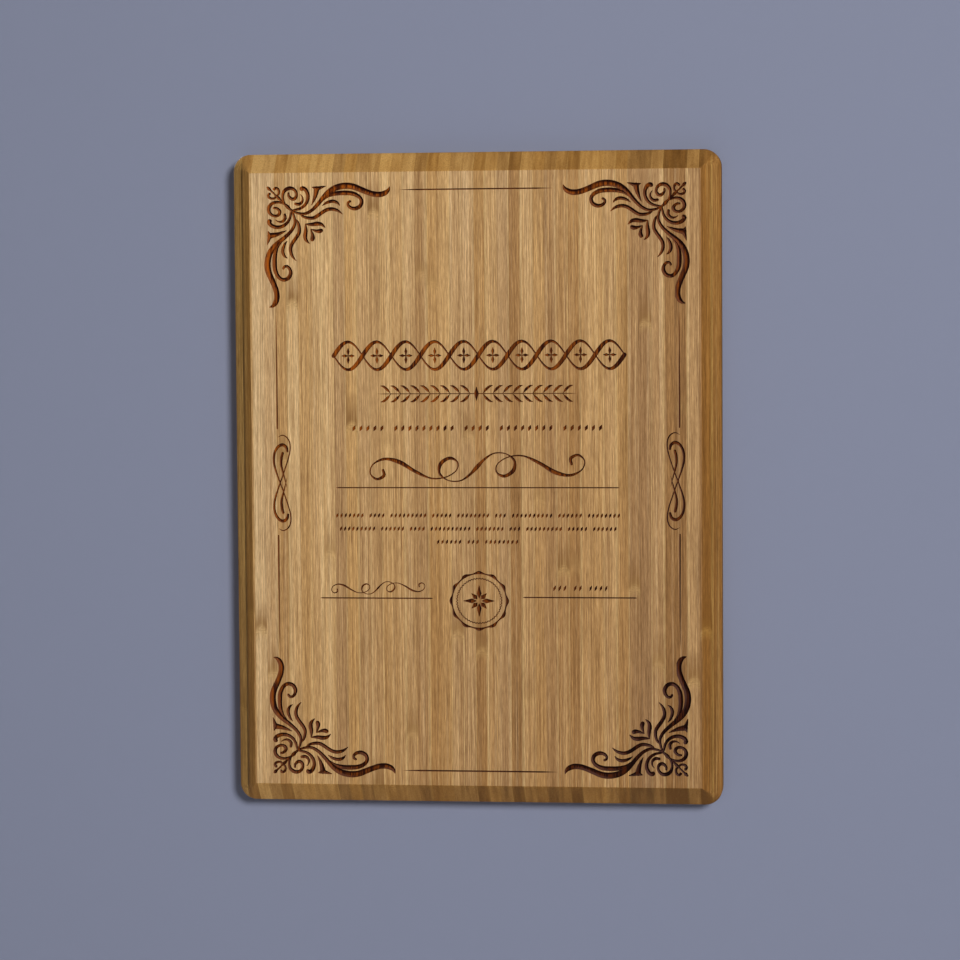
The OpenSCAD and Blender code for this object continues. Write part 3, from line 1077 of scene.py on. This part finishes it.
def build_lights():
    """A soft key from the upper right, a weak fill from the left and a light for the back."""
    middle = Vector((CENTRE_X, FRONT_Y, CENTRE_Z))
    above = middle + Vector((0, 0, 0.12))
    warm, cool = (1.0, 0.985, 0.965), (0.97, 0.98, 1.0)
    area_light("key", middle + 3.0 * direction(27, 17), above, 0.85, 21.8, warm, spread=100)
    area_light("fill", middle + 2.2 * direction(-11, 4), middle, 1.0, 2.2, cool)
    area_light("back", middle + 2.6 * direction(205, 18), middle, 1.2, 32, (1.0, 0.98, 0.96))
    world = bpy.data.worlds.new("studio")
    world.use_nodes = True
    world.node_tree.nodes["Background"].inputs[0].default_value = (0.93, 0.95, 1.0, 1)
    world.node_tree.nodes["Background"].inputs[1].default_value = 0.07
    bpy.context.scene.world = world


def direction(azimuth, elevation):
    """Unit vector towards a place seen from the board. Azimuth 0 is in front of it."""
    a, e = math.radians(azimuth), math.radians(elevation)
    return Vector((math.sin(a) * math.cos(e), -math.cos(a) * math.cos(e), math.sin(e)))


def build_camera():
    """The camera stands a little to the right of and above the plaque's centre."""
    away, distance = direction(7.0, 3.36), 1.4685
    roll = math.radians(-0.41)
    aim = Vector((CENTRE_X + 0.0024, FRONT_Y, CENTRE_Z))
    data = bpy.data.cameras.new("camera")
    data.sensor_width = 36.0
    data.lens = 118.35
    data.clip_start = 0.05
    data.clip_end = 20.0
    camera = bpy.data.objects.new("camera", data)
    turn = (-away).to_track_quat("-Z", "Y").to_matrix().to_4x4() @ Matrix.Rotation(roll, 4, "Z")
    camera.matrix_world = Matrix.Translation(aim + away * distance) @ turn
    bpy.context.scene.collection.objects.link(camera)
    bpy.context.scene.camera = camera


# ---------------------------------------------------------------------------------------
# Build
# ---------------------------------------------------------------------------------------
def build_board():
    bamboo = bamboo_material()
    for name, solid in zip(STRIPS, strip_solids(all_strokes())):
        piece = solid.build(name.replace("bamboo", "engraved"), bamboo)
        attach(piece, "root")
        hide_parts(name)


def build_hanger():
    """The plate keeps its CAD shape and gets its steel; the two screws are built anew."""
    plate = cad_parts["hanger_plate"]
    plate.data.materials.clear()
    plate.data.materials.append(steel_material("plate_steel", (0.62, 0.6, 0.56), 0.5))
    screw_cuts = [cut for cut in hanger_cuts() if cut[0] == SCREW_R]
    solid = Solid()
    for (_, centre_z, _, _), turn in zip(screw_cuts, SCREW_TURNS):
        add_screw(solid, centre_z, turn)
    piece = solid.build("fixing_screws", steel_material("screw_steel", (0.7, 0.7, 0.68), 0.3))
    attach(piece, "root")
    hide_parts("hanger_screws")


build_camera()
build_stage()
build_lights()
build_board()
build_hanger()

bpy.context.scene.view_settings.view_transform = "Standard"
